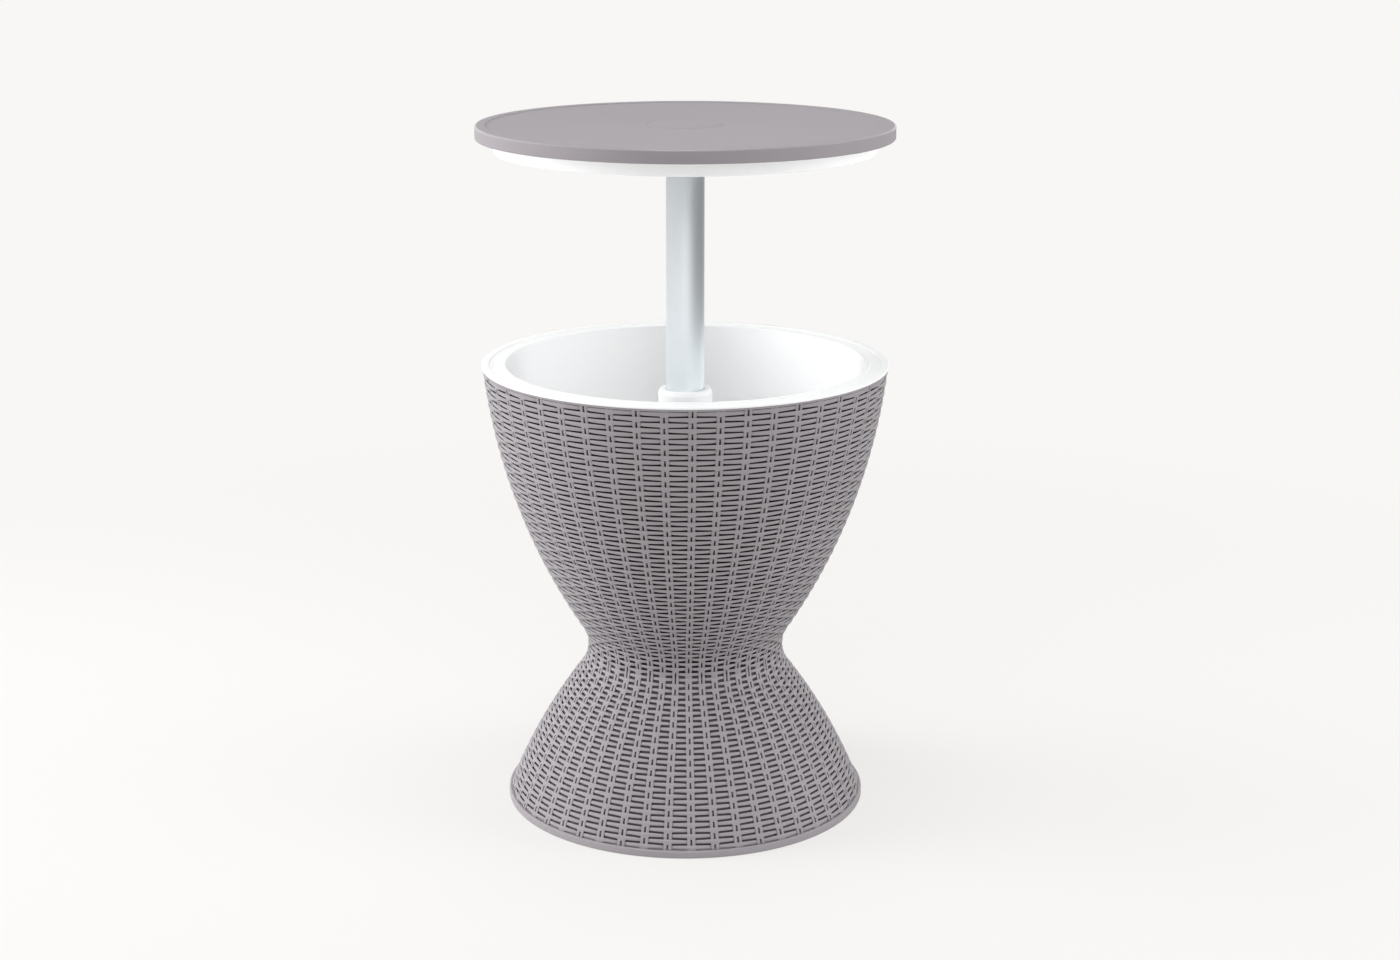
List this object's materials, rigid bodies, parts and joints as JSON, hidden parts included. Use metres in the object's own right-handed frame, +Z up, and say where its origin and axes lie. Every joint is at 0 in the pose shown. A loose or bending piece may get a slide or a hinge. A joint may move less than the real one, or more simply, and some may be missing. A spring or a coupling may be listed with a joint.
{
  "type": "height-adjustable garden table with ice bucket",
  "caption": "Round garden table on a sliding pole over an hourglass wicker-look body that holds a deep ice bucket; the top lifts, drops and twist-locks.",
  "frame": {"origin": "on the ground, in the middle of the foot", "axes": "+Z up along the pole; the body is round about Z, and the bucket's drain lies towards -X"},
  "size_m": [0.4849, 0.485, 0.82],
  "materials": {
    "wicker_plastic": "moulded wicker-look plastic, mauve grey, satin",
    "white_plastic": "smooth moulded white plastic, light sheen",
    "guide_plastic": "natural engineering plastic, matte",
    "pole_metal": "satin anodised aluminium",
    "fastener_steel": "stainless",
    "seal_rubber": "black rubber, matte"
  },
  "bodies": {
    "base": {"lower_base": "wicker_plastic", "upper_shell": "wicker_plastic", "waist_screws": "fastener_steel", "bucket_liner": "white_plastic", "guide_sleeve": "guide_plastic", "pole_bush": "guide_plastic", "pole_seal": "seal_rubber", "pole_collar": "white_plastic", "floor_gasket": "seal_rubber", "floor_nut": "guide_plastic", "base_nut": "guide_plastic", "sleeve_end_cap": "guide_plastic", "drain_fitting": "white_plastic", "drain_gasket": "seal_rubber", "drain_nut": "white_plastic"},
    "plug": {"drain_plug": "white_plastic", "plug_seal": "seal_rubber"},
    "runner": {"pole_runner": "guide_plastic"},
    "top": {"table_top": "wicker_plastic", "under_plate": "white_plastic", "plate_screws": "fastener_steel", "pole_hub": "guide_plastic", "hub_screws": "fastener_steel", "centre_cap": "wicker_plastic", "pole_bolt": "fastener_steel", "bolt_washer": "fastener_steel", "pole_tube": "pole_metal", "pole_head_plug": "guide_plastic", "pole_foot_plug": "guide_plastic", "runner_clip": "fastener_steel"}
  },
  "joints": [
    {"name": "top_lift", "type": "slide", "parent": "base", "child": "runner", "axis": [0, 0, 1], "range_m": [-0.248, 0]},
    {"name": "top_twist", "type": "hinge", "parent": "runner", "child": "top", "pos_m": [0, 0, 0.42], "axis": [0, 0, 1], "range_deg": [0, 30]},
    {"name": "plug_pull", "type": "slide", "parent": "base", "child": "plug", "axis": [0, 0, 1], "range_m": [0, 0.035]}
  ]
}
